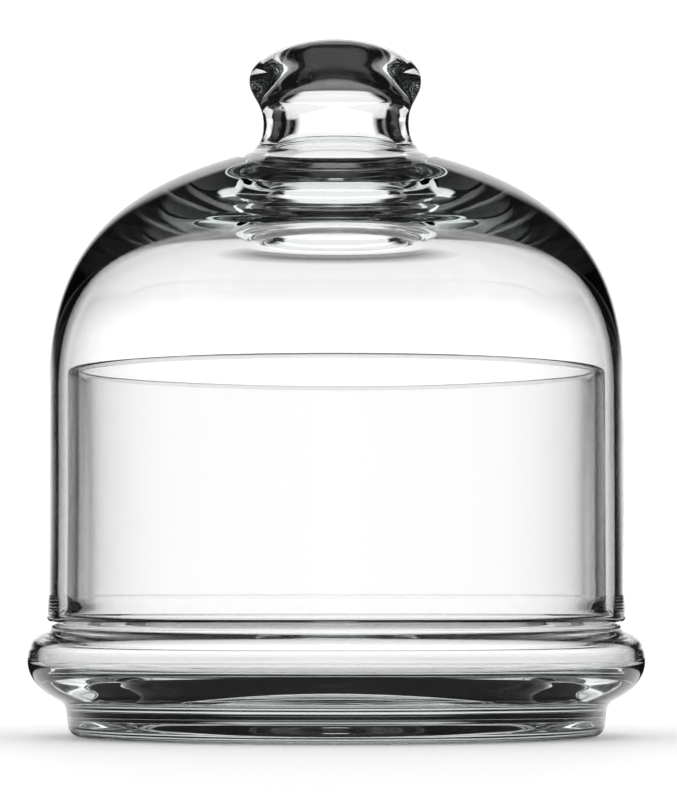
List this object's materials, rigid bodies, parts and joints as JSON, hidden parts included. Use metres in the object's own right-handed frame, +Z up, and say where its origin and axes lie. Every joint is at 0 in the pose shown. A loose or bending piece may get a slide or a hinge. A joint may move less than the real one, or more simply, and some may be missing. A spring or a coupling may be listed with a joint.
{
  "type": "cheese dome",
  "caption": "Clear glass cheese dome: a knobbed lift-off cover that stands on the rounded bead of a footed dish with an upright inner wall.",
  "frame": {"origin": "centre of the foot, on the surface that the dish stands on", "axes": "+Z up through the knob, the axis that both pieces are turned about; X and Y are interchangeable"},
  "size_m": [0.117, 0.117, 0.1327],
  "materials": {
    "base_glass": "clear, polished, thick foot with a faint green-grey depth",
    "dome_glass": "clear, polished, faintly wavy from hand forming"
  },
  "bodies": {
    "base": {"glass_base": "base_glass"},
    "dome": {"glass_dome": "dome_glass"}
  },
  "joints": [
    {"name": "dome_lift", "type": "slide", "parent": "base", "child": "dome", "axis": [0, 0, 1], "range_m": [0, 0.12]}
  ]
}
